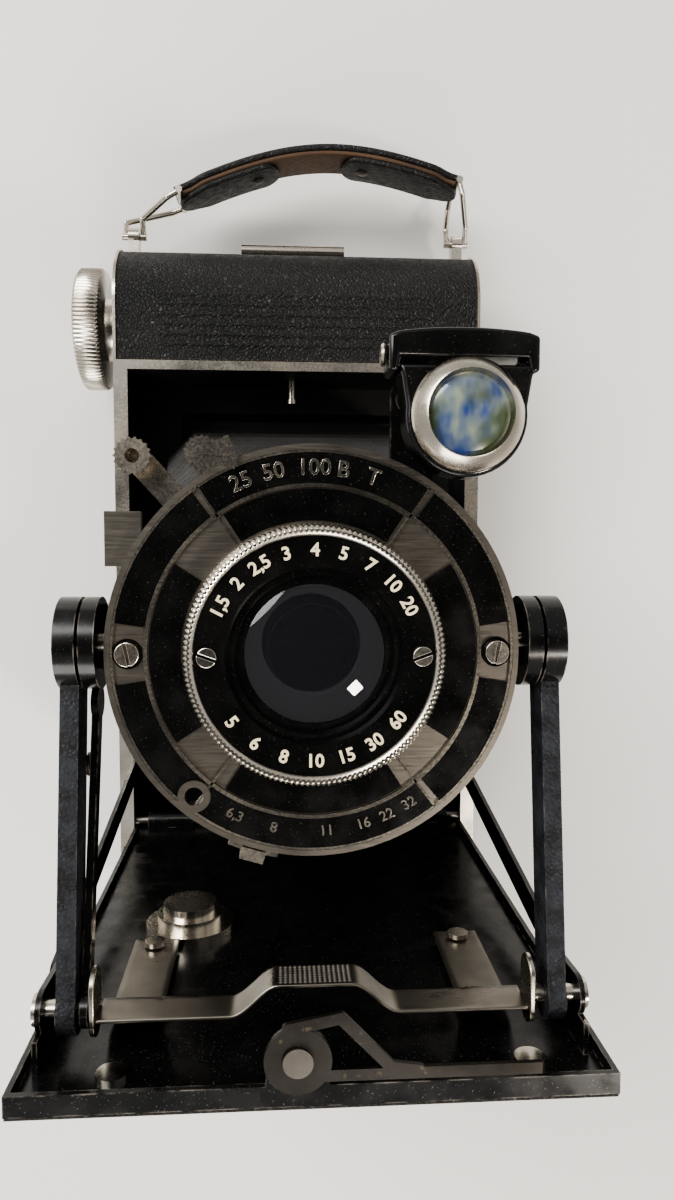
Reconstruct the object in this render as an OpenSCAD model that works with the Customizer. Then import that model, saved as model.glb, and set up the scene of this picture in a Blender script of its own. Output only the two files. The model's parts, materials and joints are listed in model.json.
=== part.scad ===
// Self-erecting folding camera for 6 x 9 cm roll film, open, lying on its back.
// Origin: lens axis at the outer face of the back. +Z: lens axis. +Y: handle end.

/* [Body] */
// Width of the body
body_w = 80; // [78:0.5:82]
// Length of the body over its round ends
body_h = 158; // [156:0.5:160]
// Depth of the body from the back to the front
body_d = 34; // [33.5:0.25:35]
// Radius of the front corners of the ends
front_r = 13; // [11:0.5:14]
// Radius of the rear corners of the ends
rear_r = 8; // [7:0.5:8]
// Thickness of the leather covering
leather_t = 0.6; // [0.5:0.1:0.7]
// Thickness of the body's sheet metal
wall_t = 1.2; // [1:0.1:1.3]

/* [Film] */
// Width of the film gate
gate_w = 56; // [54:0.5:57]
// Length of the film gate
gate_h = 89; // [86:0.5:90]
// Radius of a spool's flange
flange_r = 11; // [10.5:0.1:11]
// Length of a spool
spool_len = 64; // [62:0.5:65]
// Radius of the winding knob
knob_r = 13.6; // [12:0.1:14]

/* [Bed and linkage] */
// Length of the bed from its hinge
bed_len = 99; // [98:0.1:99.2]
// Half of the bed's width
bed_half_w = 36.4; // [36:0.1:36.6]
// Distance of the strut pivot along the bed
strut_reach = 88.6; // [87:0.1:89]
// Distance of the brace pivot along the bed
brace_reach = 78.6; // [78:0.1:79]

/* [Shutter and lens] */
// Radius of the shutter's front plate
face_r = 26.5; // [26:0.1:26.6]
// Radius of the knurled focusing ring
focus_r = 16.5; // [16:0.1:16.8]
// Radius of the front lens
glass_r = 8.9; // [8.5:0.1:9.2]

/* [Finder and handle] */
// Radius of the finder's front ring
finder_r = 7.1; // [6.8:0.1:7.3]
// Width of the handle strap
strap_w = 12; // [10:0.5:13]

/* [Hidden] */
$fn = 64;
fit = 0.05;            // radial clearance of a pivot
seat = 0.02;           // clearance of a fixed pin in its hole
half_w = body_w / 2;
half_h = body_h / 2;
shell_x = half_w - leather_t;
inner_x = shell_x - wall_t;
well_x = 37;           // half width of the front opening
well_top = 50.6;       // upper edge of the front opening
well_low = -53;        // lower edge of the front opening
trim_w = 2;
trim_t = 0.6;
cover_z = rear_r;      // the back cover ends here and the body begins
gate_z = 8.6;          // rear face of the film gate plate
gate_t = 1.2;
gate_top = gate_z + gate_t;

window_y = -8;         // red window for the frame numbers
back_y = -half_h - 1.3;       // back hinge
back_z = cover_z + 0.15;
spool_z = 17;
take_y = 62.4;         // take-up spool and winding knob
feed_y = -66;        // feed spool
core_r = 4;
pin_r = 1.75;

hinge_y = -49.8;       // bed hinge
hinge_z = 31.4;
bed_face = hinge_y - 1.2;     // inner face of the bed plate
bed_t = 1;
bed_tip = hinge_z + bed_len;

base_y = hinge_y + 5;  // strut pivot on the bed
base_z = hinge_z + strut_reach;
top_y = 1;             // strut pivot on the standard
top_z = 113.5;
lug_in = 34.1;         // bed lugs lie outside the struts
lug_out = 34.8;
strut_in = 29.8;
strut_out = 32.2;
link_in = 28.4;
link_out = 29.4;
link_y = -7.4;         // stud of the inner link
link_z = 110;
brace_in = 35;
brace_out = 35.7;
brace_y = hinge_y + 4.3;      // brace pivot on the bed
brace_z = hinge_z + brace_reach;
brace_end_y = -33.5;   // free end of the brace, in the body's side slot
brace_end_z = 30.9;

plate_z = 105.2;       // standard plate
plate_t = 1.2;
ear_in = 27.4;
ear_out = 29.4;
case_z = plate_z + plate_t;
face_z = 115.5;        // rear of the front plate
face_t = 1.8;
face_front = face_z + face_t;
enamel_t = 0.3;
focus_z = 117.7;
focus_top = 121.6;

finder_x = 19.3;
finder_y = 30.2;
finder_back = 112;
finder_front = 118.3;
finder_top = 41;
finder_wall = 1.2;
swivel_x = 14;         // finder swivel
swivel_y = 34;
leg_x = -2.4;          // pivot of the support leg
leg_y = -46.1;
catch_x = -1.4;        // push pin of the bed catch
catch_z = 20.5;
bush_x = -19.5;        // tripod bush
bush_z = 84;
rivet_z = 94;          // rivets of the release bar

lug_y = 84.4;          // handle lugs and wire loops
handle_z = 15;
wire_r = 0.8;
shoulder_run = 3.1;    // the loops' legs stay straight this far beside the strap's ends
lug_x = 38;
strap_t = 3.8;
strap_cut = 1.2;       // the strap is this much narrower on each side at its ends

// ---------- helpers ----------

// Extrude an outline drawn in the YZ plane from x0 to x1
module on_yz(x0, x1) {
    translate([x0, 0, 0]) rotate([90, 0, 90]) linear_extrude(x1 - x0) children();
}

// The children on the right and their mirror image on the left
module both_sides() {
    children();
    mirror([1, 0, 0]) children();
}

module rod_x(x0, x1, r, y, z) {
    on_yz(x0, x1) translate([y, z]) circle(r);
}

module disc(r, z0, z1, x = 0, y = 0) {
    translate([x, y, z0]) cylinder(r = r, h = z1 - z0);
}

module tube(r_out, r_in, z0, z1, x = 0, y = 0) {
    difference() {
        disc(r_out, z0, z1, x, y);
        disc(r_in, z0 - 1, z1 + 1, x, y);
    }
}

module box(x0, x1, y0, y1, z0, z1) {
    translate([x0, y0, z0]) cube([x1 - x0, y1 - y0, z1 - z0]);
}

// Flat outline of a bar with round ends between two points
module bar(a, b, w) {
    run = b - a;
    translate(a) circle(w);
    translate(b) circle(w);
    translate(a) rotate(atan2(run.y, run.x)) translate([0, -w]) square([norm(run), 2 * w]);
}

// Ring segment, with angles counted clockwise from +Y
module segment(r_in, r_out, from, to) {
    steps = 4;
    turn = (to - from) / steps;
    intersection() {
        difference() {
            circle(r_out);
            circle(r_in);
        }
        polygon(concat([[0, 0]], [for (i = [0:steps])
            2 * r_out * [sin(from + i * turn), cos(from + i * turn)]]));
    }
}

// Section of the body in the YZ plane: round front corners and rounder rear corners
module body_section(inset) {
    end = half_h - inset;
    front = body_d - inset;
    fr = front_r - inset;
    rr = rear_r - inset;
    translate([-end, inset + rr]) square([2 * end, front - fr - inset - rr]);
    translate([-(end - rr), inset]) square([2 * (end - rr), front - fr - inset]);
    translate([-(end - fr), inset + rr]) square([2 * (end - fr), front - inset - rr]);
    for (s = [-1, 1]) {
        translate([s * (end - fr), front - fr]) circle(fr);
        translate([s * (end - rr), inset + rr]) circle(rr);
    }
}

module body_block(inset, x_half) {
    on_yz(-x_half, x_half) body_section(inset);
}

// One skin of leather round the ends, cut to a range of Y and Z
module skin(y0, y1, z0, z1) {
    intersection() {
        difference() {
            body_block(0, shell_x);
            body_block(leather_t, shell_x + 1);
        }
        box(-half_w, half_w, y0, y1, z0, z1);
    }
}

// ---------- body ----------

// Knuckle of the back hinge between x0 and x1, joined to the wall above or below the pin
module back_knuckle(x0, x1, side) difference() {
    union() {
        rod_x(x0, x1, 1.6, back_y, back_z);
        on_yz(x0, x1) translate([back_y, back_z + (side > 0 ? 0.2 : -1.6)]) square([2.6, 1.4]);
    }
    rod_x(x0 - 1, x1 + 1, 0.8 + fit, back_y, back_z);
}

// Room for the back hinge in the leather
module back_hinge_room() box(-28.4, 28.4, -half_h - 2, -half_h + leather_t, back_z - 2.2, back_z + 2.2);

module body_shell() color([0.07, 0.07, 0.07]) {
    back_knuckle(-12, 12, 1);
    body_tub();
}

module body_tub() difference() {
    intersection() {
        body_block(leather_t, shell_x);
        box(-half_w, half_w, -half_h, half_h, cover_z + 0.3, body_d);
    }
    body_block(leather_t + wall_t, inner_x);
    box(-well_x, well_x, well_low, well_top, body_d - 5, body_d + 1);
    rod_x(-half_w, -half_w + 4, 3 + seat, take_y, spool_z);
    rod_x(half_w - 4, half_w, pin_r + seat, take_y, spool_z);
    rod_x(-half_w, half_w, pin_r + seat, feed_y, spool_z);
    rod_x(-half_w, half_w, 1 + seat, hinge_y, hinge_z);
}

module end_leather_top() color([0.09, 0.09, 0.1])
    skin(well_top + trim_w + 0.2, half_h + 1, cover_z + 0.5, body_d + 1);

module end_leather_bottom() color([0.09, 0.09, 0.1]) difference() {
    skin(-half_h - 1, well_low - trim_w - 0.2, cover_z + 0.5, body_d + 1);
    back_hinge_room();
}

module side_leathers() color([0.09, 0.09, 0.1]) both_sides() intersection() {
    difference() {
        on_yz(shell_x, half_w) body_section(1.6);
        rod_x(half_w - 2, half_w + 1, 3.6, take_y, spool_z);
    }
    box(0, half_w + 1, -half_h, half_h, cover_z + 0.5, body_d);
}

module side_rails() color([0.8, 0.78, 0.74]) both_sides() intersection() {
    on_yz(shell_x, half_w) difference() {
        body_section(0);
        body_section(1.6);
    }
    box(0, half_w + 1, -half_h, half_h, cover_z + 0.5, body_d + 1);
}

module opening_trim() color([0.8, 0.78, 0.74]) difference() {
    box(-shell_x, shell_x, well_low - trim_w, well_top + trim_w,
        body_d - leather_t, body_d - leather_t + trim_t);
    box(-well_x, well_x, well_low, well_top, body_d - 2, body_d + 2);
}

// Film gate plate with its aperture, and the walls that part off the spool chambers
module film_frame() color([0.05, 0.05, 0.05]) {
    difference() {
        union() {
            box(-inner_x + 0.1, inner_x - 0.1, well_low - 1.4, well_top + 1.4, gate_z, gate_top);
            box(-well_x, well_x, well_top + 0.1, well_top + 0.7, gate_z, 31.8);
        }
        box(-gate_w / 2, gate_w / 2, -gate_h / 2, gate_h / 2, gate_z - 1, gate_top + 1);
        translate([catch_x, well_top - 2, catch_z]) rotate([-90, 0, 0]) cylinder(r = 1 + fit, h = 6);
    }
    box(-33.5, 33.5, well_low - 1.4, well_low - 0.6, gate_top, 28);
}

module roller(y) color([0.78, 0.77, 0.74]) {
    rod_x(-30, 30, 1.6, y, 6.2);
    rod_x(-32, 32, 0.7, y, 6.2);
}

module roller_upper() roller(gate_h / 2 + 2.6);
module roller_lower() roller(-gate_h / 2 - 2.6);

module bed_hinge_pin() color([0.7, 0.69, 0.66])
    rod_x(-inner_x - 0.9, inner_x + 0.9, 1, hinge_y, hinge_z);

module spool_pins() color([0.7, 0.69, 0.66]) {
    both_sides() rod_x(spool_len / 2 - 4, shell_x, pin_r, feed_y, spool_z);
    rod_x(spool_len / 2 - 4, shell_x, pin_r, take_y, spool_z);
}

// Film spool: a core with a flange at each end
module spool(y) color([0.25, 0.08, 0.06]) difference() {
    union() {
        rod_x(-spool_len / 2, spool_len / 2, core_r, y, spool_z);
        both_sides() rod_x(spool_len / 2 - 1, spool_len / 2, flange_r, y, spool_z);
    }
    rod_x(-spool_len, spool_len, pin_r + fit, y, spool_z);
}

module take_up_spool() spool(take_y);
module feed_spool() spool(feed_y);

module winding_knob() color([0.8, 0.78, 0.74]) difference() {
    union() {
        rod_x(-half_w - 9.8, -half_w - 3.8, knob_r, take_y, spool_z);
        rod_x(-half_w - 3.8, -half_w - 1.4, 7, take_y, spool_z);
    }
    rod_x(-half_w - 11, -half_w - 9.2, knob_r - 2.2, take_y, spool_z);
    rod_x(-half_w - 9, -half_w - 1, 2 + seat, take_y, spool_z);
}

module winding_shaft() color([0.7, 0.69, 0.66]) {
    rod_x(-half_w - 8.8, -spool_len / 2 - 0.4, 2, take_y, spool_z);
    rod_x(-spool_len / 2 - 0.4, -spool_len / 2 + 4, pin_r, take_y, spool_z);
}

module knob_bearing() color([0.8, 0.78, 0.74]) difference() {
    union() {
        rod_x(-half_w - 1.1, -half_w, 5.2, take_y, spool_z);
        rod_x(-half_w, -inner_x, 3, take_y, spool_z);
    }
    rod_x(-half_w - 2, -inner_x + 1, 2 + fit, take_y, spool_z);
}

module bed_catch() color([0.8, 0.78, 0.74]) translate([catch_x, 45.4, catch_z]) rotate([-90, 0, 0]) {
    cylinder(r = 1, h = 6.8);
    cylinder(r = 1.3, h = 1);
}

// ---------- back ----------

module back_cover() color([0.06, 0.06, 0.06]) {
    cover_tray();
    for (x = [-28, 12.3]) back_knuckle(x, x + 15.7, -1);
}

module cover_tray() difference() {
    intersection() {
        body_block(leather_t, shell_x);
        box(-half_w, half_w, -half_h, half_h, 0, cover_z);
    }
    body_block(leather_t + wall_t, inner_x);
    disc(4, -1, 3, 0, window_y);
}

module back_leather() color([0.09, 0.09, 0.1]) difference() {
    skin(-half_h - 1, half_h + 1, -1, cover_z - 0.2);
    back_hinge_room();
    disc(4.6, -1, 2, 0, window_y);
}

module back_hinge_pin() color([0.7, 0.69, 0.66])
    rod_x(-28.6, 28.6, 0.8, back_y, back_z);

module pressure_plate() color([0.08, 0.08, 0.08]) {
    box(-29.5, 29.5, -43, 43, 5.2, 6.4);
    for (s = [-1, 1]) box(-8, 8, s * 28 - 6, s * 28 + 6, 1.8, 5.2);
}

module red_window() color([0.6, 0.05, 0.03]) disc(4 - seat, 0.7, 1.6, 0, window_y);

module window_slide() color([0.12, 0.12, 0.12]) box(-5.2, 5.2, window_y - 5.4, window_y + 5.4, 2.1, 2.7);

module back_latch() color([0.8, 0.78, 0.74]) {
    box(-13, 11, half_h, half_h + 1.4, 9.4, 17.6);
    rod_x(-13, 11, 1.5, half_h + 2.3, 16.6);
}

// ---------- handle ----------

module handle_lugs() color([0.8, 0.78, 0.74]) for (x = [-lug_x, lug_x]) difference() {
    union() {
        box(x - 2, x + 2, half_h, half_h + 0.8, handle_z - 3, handle_z + 3);
        rod_x(x - 1.2, x + 1.2, 2, lug_y, handle_z);
        box(x - 1.2, x + 1.2, half_h, lug_y, handle_z - 1.6, handle_z + 1.6);
    }
    rod_x(x - 5, x + 5, wire_r + fit, lug_y, handle_z);
}

// Straight wire from a to b
module wire(a, b, r) {
    run = b - a;
    translate(a) rotate([0, acos(run.z / norm(run)), atan2(run.y, run.x)]) cylinder(r = r, h = norm(run));
}

// Wire loop: a short bar through the lug, a long one through the strap's end, and two bent legs
module wire_loop(x_lug, x_end, y_end) color([0.8, 0.78, 0.74]) {
    span = strap_w / 2 - strap_cut + 0.8;
    leg_r = wire_r - 0.15;
    rod_x(x_lug - 2.8, x_lug + 2.8, wire_r, lug_y, handle_z);
    disc(wire_r, handle_z - span - 0.95, handle_z + span + 0.95, x_end, y_end);
    for (s = [-1, 1]) {
        foot = [x_lug + s * 2.1, lug_y, handle_z];
        elbow = foot + [0, 3.6, s * 1.4];
        tip = [x_end, y_end, handle_z + s * span];
        away = [elbow.x - tip.x, elbow.y - tip.y, 0];
        shoulder = tip + away * shoulder_run / norm(away);
        wire(foot, elbow, leg_r);
        translate(elbow) sphere(leg_r + 0.06);
        wire(elbow, shoulder, leg_r);
        translate(shoulder) sphere(leg_r + 0.06);
        wire(shoulder, tip, leg_r);
    }
}

module wire_loop_left() wire_loop(-lug_x, strap_x(0), strap_y(0));
module wire_loop_right() wire_loop(lug_x, strap_x(1), strap_y(1));

// Middle line of the strap: from the left loop up over its arch and down to the right loop
function strap_y(t) = 93.2 + 4 * t + 7.6 * sin(180 * t);
function strap_x(t) = -27 + 64.6 * t;

// Strap: two leather plies sewn together, arched between the wire loops
module handle_strap() color([0.1, 0.09, 0.09]) difference() {
    steps = 20;
    translate([0, 0, handle_z - strap_w / 2]) linear_extrude(strap_w) union() {
        polygon(concat(
            [for (i = [0:steps]) [strap_x(i / steps), strap_y(i / steps) - strap_t / 2]],
            [for (i = [steps:-1:0]) [strap_x(i / steps), strap_y(i / steps) + strap_t / 2]]));
        for (t = [0, 1]) translate([strap_x(t), strap_y(t)]) circle(2.3);
    }
    for (t = [0, 1]) {
        disc(wire_r + 0.1, 0, 2 * handle_z, strap_x(t), strap_y(t));
        for (s = [-1, 1]) translate([strap_x(t), strap_y(t), handle_z + s * strap_w / 2])
            cube([10, 12, 2 * strap_cut], center = true);
    }
}

// ---------- bed ----------

module bed_plate() color([0.04, 0.04, 0.04]) difference() {
    union() {
        box(-bed_half_w, bed_half_w, bed_face - bed_t, bed_face, hinge_z - 0.6, bed_tip);
        both_sides() box(bed_half_w - 0.7, bed_half_w, bed_face, bed_face + 1.6, hinge_z + 4, bed_tip);
        box(-bed_half_w, bed_half_w, bed_face, bed_face + 1.6, bed_tip - 0.8, bed_tip);
        both_sides() {
            rod_x(24, 34, 1.9, hinge_y, hinge_z);
            box(24, 34, bed_face - bed_t, hinge_y, hinge_z - 0.6, hinge_z + 1.9);
        }
        leg_tab();
    }
    both_sides() rod_x(20, 36, 1 + fit, hinge_y, hinge_z);
    translate([bush_x, bed_face + 1, bush_z]) rotate([90, 0, 0]) cylinder(r = 4.76, h = 4);
    translate([leg_x, leg_y, bed_tip - 3]) cylinder(r = 1 + seat, h = 5);
}

// Upright tab that carries the support leg
module leg_tab() {
    box(leg_x - 3.8, leg_x + 3.8, bed_face, leg_y, bed_tip - 0.8, bed_tip);
    disc(3.8, bed_tip - 0.8, bed_tip, leg_x, leg_y);
}

module bed_leather() color([0.09, 0.09, 0.1]) difference() {
    box(-bed_half_w, bed_half_w, bed_face - bed_t - leather_t, bed_face - bed_t,
        hinge_z + 1, bed_tip - 0.4);
    translate([bush_x, bed_face, bush_z]) rotate([90, 0, 0]) cylinder(r = 4.76, h = 4);
}

module bed_lugs() color([0.05, 0.05, 0.05]) both_sides() difference() {
    on_yz(lug_in, lug_out) {
        translate([bed_face, brace_z - 4]) square([4.2, base_z - brace_z + 8]);
        bar([brace_y, brace_z], [base_y, base_z], 2.6);
    }
    rod_x(lug_in - 1, lug_out + 1, 1.2 + seat, base_y, base_z);
    rod_x(lug_in - 1, lug_out + 1, 1 + seat, brace_y, brace_z);
}

module strut_pins() color([0.78, 0.77, 0.74]) both_sides() {
    rod_x(link_in - 0.1, lug_out, 1.2, base_y, base_z);
    rod_x(lug_out, lug_out + 0.6, 2, base_y, base_z);
}

module brace_pins() color([0.78, 0.77, 0.74]) both_sides() {
    rod_x(lug_in - 0.2, brace_out + 0.1, 1, brace_y, brace_z);
}

// Threaded bush for a tripod, with a stepped flange on the inner face of the bed
module tripod_bush() color([0.78, 0.77, 0.74]) translate([bush_x, bed_face, bush_z]) rotate([-90, 0, 0])
    difference() {
        union() {
            translate([0, 0, -1.6]) cylinder(r = 4.74, h = 1.6);
            cylinder(r = 7.3, h = 1.2);
            translate([0, 0, 1.2]) cylinder(r = 5.4, h = 1.6);
            translate([0, 0, 2.8]) cylinder(r = 4.4, h = 1.6);
        }
        translate([0, 0, -2]) cylinder(r = 3.175, h = 5.4);
    }

module bed_rivets() color([0.78, 0.77, 0.74]) {
    for (x = [-24, 24]) {
        translate([x, bed_face, rivet_z]) rotate([-90, 0, 0]) cylinder(r = 1.6, h = 0.75);
        translate([x, bed_face + 1.85, rivet_z]) rotate([-90, 0, 0]) cylinder(r = 1.6, h = 0.7);
    }
    for (x = [-25, 27]) translate([x, bed_face, 124.6]) rotate([-90, 0, 0]) cylinder(r = 2, h = 0.6);
}

// Spring bar that frees the struts: two legs, a cross bar with a raised pad, and an ear at each end
module release_bar() color([0.72, 0.7, 0.66]) {
    low = bed_face + 1.05;
    sheet = 0.5;
    high = base_y - 1.2;
    both_sides() {
        rod_x(20.4, 27.4, 0.5, low + sheet / 2, rivet_z);
        on_yz(20.4, 27.4) polygon([[low, 91.5], [low + sheet, 91.5], [low + sheet, 111.1],
            [high + 0.8, base_z - 3.4], [high, base_z - 3.4], [low, 111.5]]);
        on_yz(link_in - 1, link_in - 0.3) bar([high + 0.4, base_z], [base_y + 0.4, base_z], 2.4);
    }
    translate([0, 0, base_z - 3.4]) linear_extrude(5.2) {
        both_sides() {
            polygon([[10, high], [link_in - 0.6, high], [link_in - 0.6, high + 0.8], [9.6, high + 0.8]]);
            polygon([[10, high], [9.6, high + 0.8], [5.4, high + 4.6], [5, high + 3.8]]);
        }
        polygon([[-5.4, high + 4.6], [-5, high + 3.8], [5, high + 3.8], [5.4, high + 4.6]]);
    }
}

// Support leg: a disc on the front tab, an arm along the front edge and a hooked finger tab
module support_leg() color([0.3, 0.29, 0.28]) difference() {
    translate([0, 0, bed_tip + 0.1]) linear_extrude(0.6) {
        translate([leg_x, leg_y]) circle(4);
        translate([leg_x, leg_y - 2.5]) square([29, 1.4]);
        bar([-3.6, -42.2], [2.6, -41], 0.7);
        bar([2.6, -41], [8.4, -47], 0.7);
        bar([8.4, -47], [12, -47.6], 0.6);
    }
    disc(1 + fit, bed_tip - 1, bed_tip + 2, leg_x, leg_y);
}

module leg_rivet() color([0.6, 0.58, 0.55]) {
    disc(1, bed_tip - 0.8, bed_tip + 0.75, leg_x, leg_y);
    disc(1.8, bed_tip + 0.75, bed_tip + 1.05, leg_x, leg_y);
}

// ---------- struts and braces ----------

module strut() color([0.16, 0.16, 0.17]) difference() {
    on_yz(strut_in, strut_out) difference() {
        union() {
            bar([base_y, base_z], [top_y - 4, top_z + 0.6], 2.6);
            translate([base_y, base_z]) circle(3.1);
        }
        translate([top_y, top_z]) circle(6.02);
    }
    rod_x(strut_in - 1, strut_out + 1, 1.2 + fit, base_y, base_z);
}

module strut_left() mirror([1, 0, 0]) strut();
module strut_right() strut();

module strut_caps() color([0.04, 0.04, 0.04]) both_sides() difference() {
    rod_x(strut_in, strut_out + 0.3, 6, top_y, top_z);
    rod_x(strut_in - 1, strut_out + 1, 1.2 + fit, top_y, top_z);
}

module inner_link() color([0.08, 0.08, 0.08]) mirror([1, 0, 0]) difference() {
    union() {
        on_yz(link_in, link_out) {
            bar([base_y, base_z], [link_y, link_z], 1.1);
            translate([link_y, link_z]) circle(2.2);
            translate([base_y, base_z]) circle(2.4);
        }
        rod_x(link_out, strut_in, 1.6, link_y - 8, link_z + 2.2);
    }
    rod_x(link_in - 1, link_out + 1, 1.2 + fit, base_y, base_z);
}

module brace() color([0.06, 0.06, 0.06]) difference() {
    on_yz(brace_in, brace_out) bar([brace_y, brace_z], [brace_end_y, brace_end_z], 2.1);
    rod_x(brace_in - 1, brace_out + 1, 1 + fit, brace_y, brace_z);
}

module brace_left() mirror([1, 0, 0]) brace();
module brace_right() brace();

// ---------- standard and shutter ----------

module standard_plate() color([0.05, 0.05, 0.05]) {
    difference() {
        union() {
            disc(25, plate_z, case_z);
            box(-ear_out, ear_out, top_y - 4.5, top_y + 4.5, plate_z, case_z);
            box(swivel_x - 3, swivel_x + 3, 20, swivel_y, plate_z, case_z);
            disc(3, plate_z, case_z, swivel_x, swivel_y);
            disc(2.2, case_z, finder_back - fit, swivel_x, swivel_y);
        }
        disc(12, plate_z - 1, case_z + 1);
        disc(1 + seat, plate_z - 1, finder_back, swivel_x, swivel_y);
    }
    both_sides() difference() {
        on_yz(ear_in, ear_out) {
            translate([top_y, top_z]) circle(6);
            translate([top_y - 4.5, case_z]) square([9, top_z - case_z]);
        }
        rod_x(ear_in - 1, ear_out + 1, 1.2 + seat, top_y, top_z);
    }
}

module standard_pins() color([0.78, 0.77, 0.74]) {
    both_sides() {
        rod_x(ear_in - 0.4, strut_out + 0.3, 1.2, top_y, top_z);
        rod_x(strut_out + 0.35, strut_out + 0.9, 2.2, top_y, top_z);
        rod_x(strut_out + 0.3, strut_out + 0.35, 1.2, top_y, top_z);
    }
    disc(1, plate_z - 0.6, finder_back + finder_wall + 0.1, swivel_x, swivel_y);
    disc(1.7, finder_back + finder_wall + 0.1, finder_back + finder_wall + 0.7, swivel_x, swivel_y);
}

// Leather bellows between the film gate and the standard: a hollow tapered skin
module bellows() color([0.16, 0.14, 0.13]) {
    low = gate_top;
    high = plate_z;
    skin_t = 0.9;
    difference() {
        hull() {
            box(-32, 32, -41, 41, low, low + 1);
            box(-21, 21, -20, 20, high - 1, high);
        }
        hull() {
            box(-32 + skin_t, 32 - skin_t, -41 + skin_t, 41 - skin_t, low - 1, low);
            box(-21 + skin_t, 21 - skin_t, -20 + skin_t, 20 - skin_t, high, high + 1);
        }
    }
}

module shutter_case() color([0.07, 0.07, 0.07]) difference() {
    disc(24, case_z, face_z);
    disc(22.8, case_z + 1.2, face_z - 1.2);
    disc(10.5, case_z - 1, face_z + 1);
}

// Two half discs that close the light path
module shutter_blades() color([0.2, 0.2, 0.22]) {
    for (s = [0, 180]) rotate(s) translate([0, 0, 110 + s / 400]) linear_extrude(0.3)
        intersection() {
            circle(20);
            translate([-20, -1]) square([40, 21]);
        }
}

module front_plate() color([0.78, 0.77, 0.74]) {
    difference() {
        disc(face_r, face_z, face_front);
        disc(10.5, face_z - 1, face_front + 1);
        disc(1.2, face_z - 1, face_front + 1, -15.4, -18.4);
    }
    tube(face_r, face_r - 0.7, face_front, face_front + 0.5);
    tube(2.1, 1.2, face_front, face_front + 0.5, -15.4, -18.4);
    for (s = [-1, 1]) difference() {
        disc(1.25, face_front, face_front + 0.7, s * 23.6, 0);
        translate([s * 23.6, 0, face_front + 0.7]) cube([0.35, 4, 0.6], center = true);
    }
    box(-26.6, -22, 11, 18, face_z - 1.4, face_z);
}

// Black enamel fields of the front plate
module plate_enamel() color([0.02, 0.02, 0.02]) translate([0, 0, face_front]) linear_extrude(enamel_t)
    difference() {
        union() {
            for (span = [[-35, 35], [37, 81], [99, 140], [142, 218], [220, 261], [279, 323]])
                segment(21.6, 25.5, span[0], span[1]);
            for (mid = [0, 90, 180, 270]) segment(16.9, 20.9, mid - 33, mid + 33);
        }
        translate([-15.4, -18.4]) circle(2.2);
    }

// Outline of a disc with small teeth
module toothed(r, teeth) {
    circle(r * 0.9);
    for (i = [0:teeth - 1]) rotate(i * 360 / teeth) translate([r * 0.88, 0])
        rotate(45) square(r * 0.22, center = true);
}

// Flat lever with a toothed thumb disc, swinging on the shutter's rim
module release_lever() color([0.8, 0.78, 0.74]) translate([0, 0, face_z - 2.6]) linear_extrude(0.9) {
    translate([-14.4, 25.6]) rotate(29) toothed(2.3, 18);
    difference() {
        segment(24.2, 27.5, -33, -27);
        translate([-14.4, 25.6]) circle(1.8);
    }
}

module speed_pointer() color([0.8, 0.78, 0.74]) {
    translate([0, 0, face_front + 0.6]) rotate(23.3) linear_extrude(0.8)
        polygon([[0, 25.2], [1, 26.4], [1, 29.4], [-1, 29.4], [-1, 26.4]]);
    rotate(23.3) box(-0.9, 0.9, 26.8, 29.3, face_z - 1, face_front + 0.6);
    translate([0, 0, face_z - 1]) rotate(23.3) linear_extrude(0.7) segment(24.2, 27, -4, 4);
}

module aperture_pointer() color([0.8, 0.78, 0.74]) rotate(-16.8) {
    translate([0, 0, face_z - 1]) linear_extrude(0.7) segment(24.2, 28, 173, 187);
    box(-1.6, 1.6, -28.4, -26.8, face_z - 1, face_front + 0.2);
}

// Socket for a release cable: an arm from the rim, a drum and a toothed disc
module cable_socket() color([0.8, 0.78, 0.74]) difference() {
    union() {
        translate([0, 0, face_z - 2.6]) linear_extrude(1.2) difference() {
            bar([-22.6, 24.8], [-16.4, 18], 1.7);
            circle(24.1);
        }
        disc(1.9, face_z - 1.4, face_z + 1.6, -22.6, 24.8);
        translate([-22.6, 24.8, face_z + 1.6]) linear_extrude(0.8) toothed(2.3, 18);
    }
    disc(0.9, face_z - 1.2, face_front + 3, -22.6, 24.8);
}

// ---------- focusing mount ----------

module focus_ring() color([0.8, 0.78, 0.74]) tube(focus_r, focus_r - 1.5, focus_z, focus_top);

// Front cell: a black dished ring with a stepped recess round the glass
module front_cell() color([0.03, 0.03, 0.03]) {
    rotate_extrude() polygon([[10.5, focus_z + 0.3], [focus_r - 1.52, focus_z + 0.3],
        [focus_r - 1.52, focus_top - 0.5], [11.2, focus_top - 0.9], [10.9, focus_top - 2],
        [10.1, focus_top - 2], [9.9, focus_top - 3], [8.95, focus_top - 3], [8.95, 113.4], [10.2, 113.4],
        [10.2, focus_z + 0.3]]);
    for (s = [-1, 1]) difference() {
        disc(1.2, focus_top - 0.75, focus_top - 0.1, s * 13.4, 0);
        translate([s * 13.4, 0, focus_top - 0.1]) rotate(20) cube([0.35, 4, 0.6], center = true);
    }
}

// Front and rear lens elements
module lens_glass() color([0.6, 0.65, 0.8, 0.4]) {
    intersection() {
        disc(glass_r, 115, focus_top - 1);
        translate([0, 0, focus_top - 3 - 26]) sphere(27.4);
    }
    disc(glass_r - 1, 113.6, 115);
}

// ---------- finder ----------

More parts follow.
